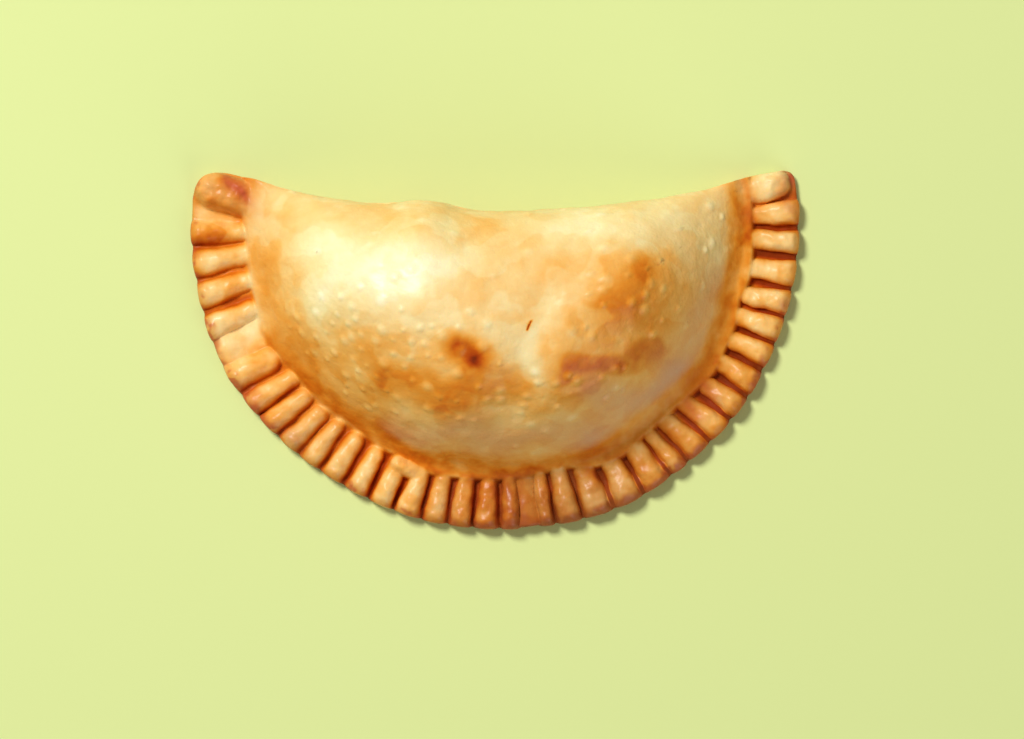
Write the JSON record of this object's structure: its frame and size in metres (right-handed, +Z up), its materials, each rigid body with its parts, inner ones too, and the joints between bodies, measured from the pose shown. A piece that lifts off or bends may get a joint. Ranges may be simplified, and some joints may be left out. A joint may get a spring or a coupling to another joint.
{
  "type": "empanada",
  "caption": "Half-moon baked pastry folded over its filling: a rounded dome, a rolled fold behind and a fork-crimped round rim, lying flat.",
  "frame": {"origin": "middle of the bounding box's base, on the surface that the pastry lies on", "axes": "+X along the fold, towards the right corner when the crimped edge faces the viewer; -Y towards the crimped edge; +Z up"},
  "size_m": [0.1396, 0.0822, 0.0354],
  "materials": {
    "pastry": "satin"
  },
  "bodies": {
    "root": {"pastry": "pastry"}
  },
  "joints": []
}
